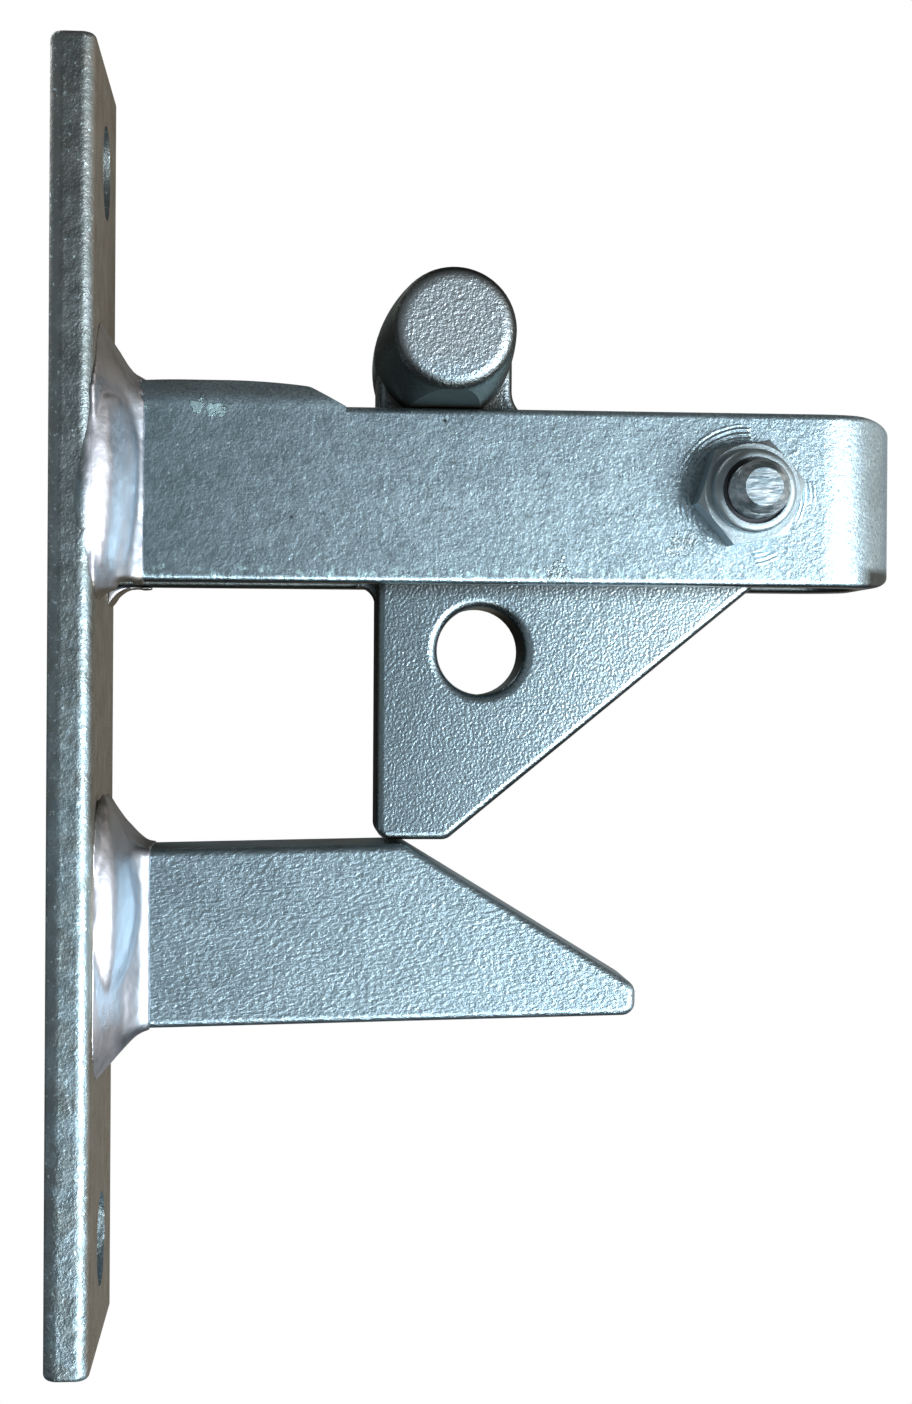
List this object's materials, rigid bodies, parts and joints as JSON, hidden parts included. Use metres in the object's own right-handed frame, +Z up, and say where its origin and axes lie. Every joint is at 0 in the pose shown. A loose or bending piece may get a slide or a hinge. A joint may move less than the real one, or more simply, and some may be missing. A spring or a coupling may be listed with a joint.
{
  "type": "automatic gate latch",
  "caption": "Galvanised automatic gate latch: post plate with a slotted upper arm, a drop tongue that swings up on a pivot bolt with a cross handle, and a sloping keeper arm.",
  "frame": {"origin": "centre of the back plate's flat post face", "axes": "+X away from the post along the arms, +Y to the rear (bolt head side), +Z up along the plate"},
  "size_m": [0.1524, 0.078, 0.232],
  "materials": {
    "galvanised_bar": "hot-dip galvanised steel bar, pale blue-grey with a fine orange-peel skin",
    "galvanised_weld": "smooth hot-dip galvanised weld bead, brighter and glossier than the bar",
    "galvanised_casting": "hot-dip galvanised iron casting with a coarse sand-cast grain",
    "zinc_plate": "bright zinc-plated machined steel",
    "nylon": "dark nylon lock ring"
  },
  "bodies": {
    "bracket": {"back_plate": "galvanised_bar", "upper_strap": "galvanised_bar", "stop_plate": "galvanised_bar", "keeper_arm": "galvanised_bar", "upper_weld": "galvanised_weld", "keeper_weld": "galvanised_weld", "stop_welds": "galvanised_weld", "pivot_bolt": "zinc_plate", "lock_nut": "zinc_plate", "nut_insert": "nylon"},
    "tongue": {"latch_tongue": "galvanised_casting"}
  },
  "joints": [
    {"name": "tongue_pivot", "type": "hinge", "parent": "bracket", "child": "tongue", "pos_m": [0.123, 0, 0.0387], "axis": [0, 1, 0], "range_deg": [0, 37]}
  ]
}
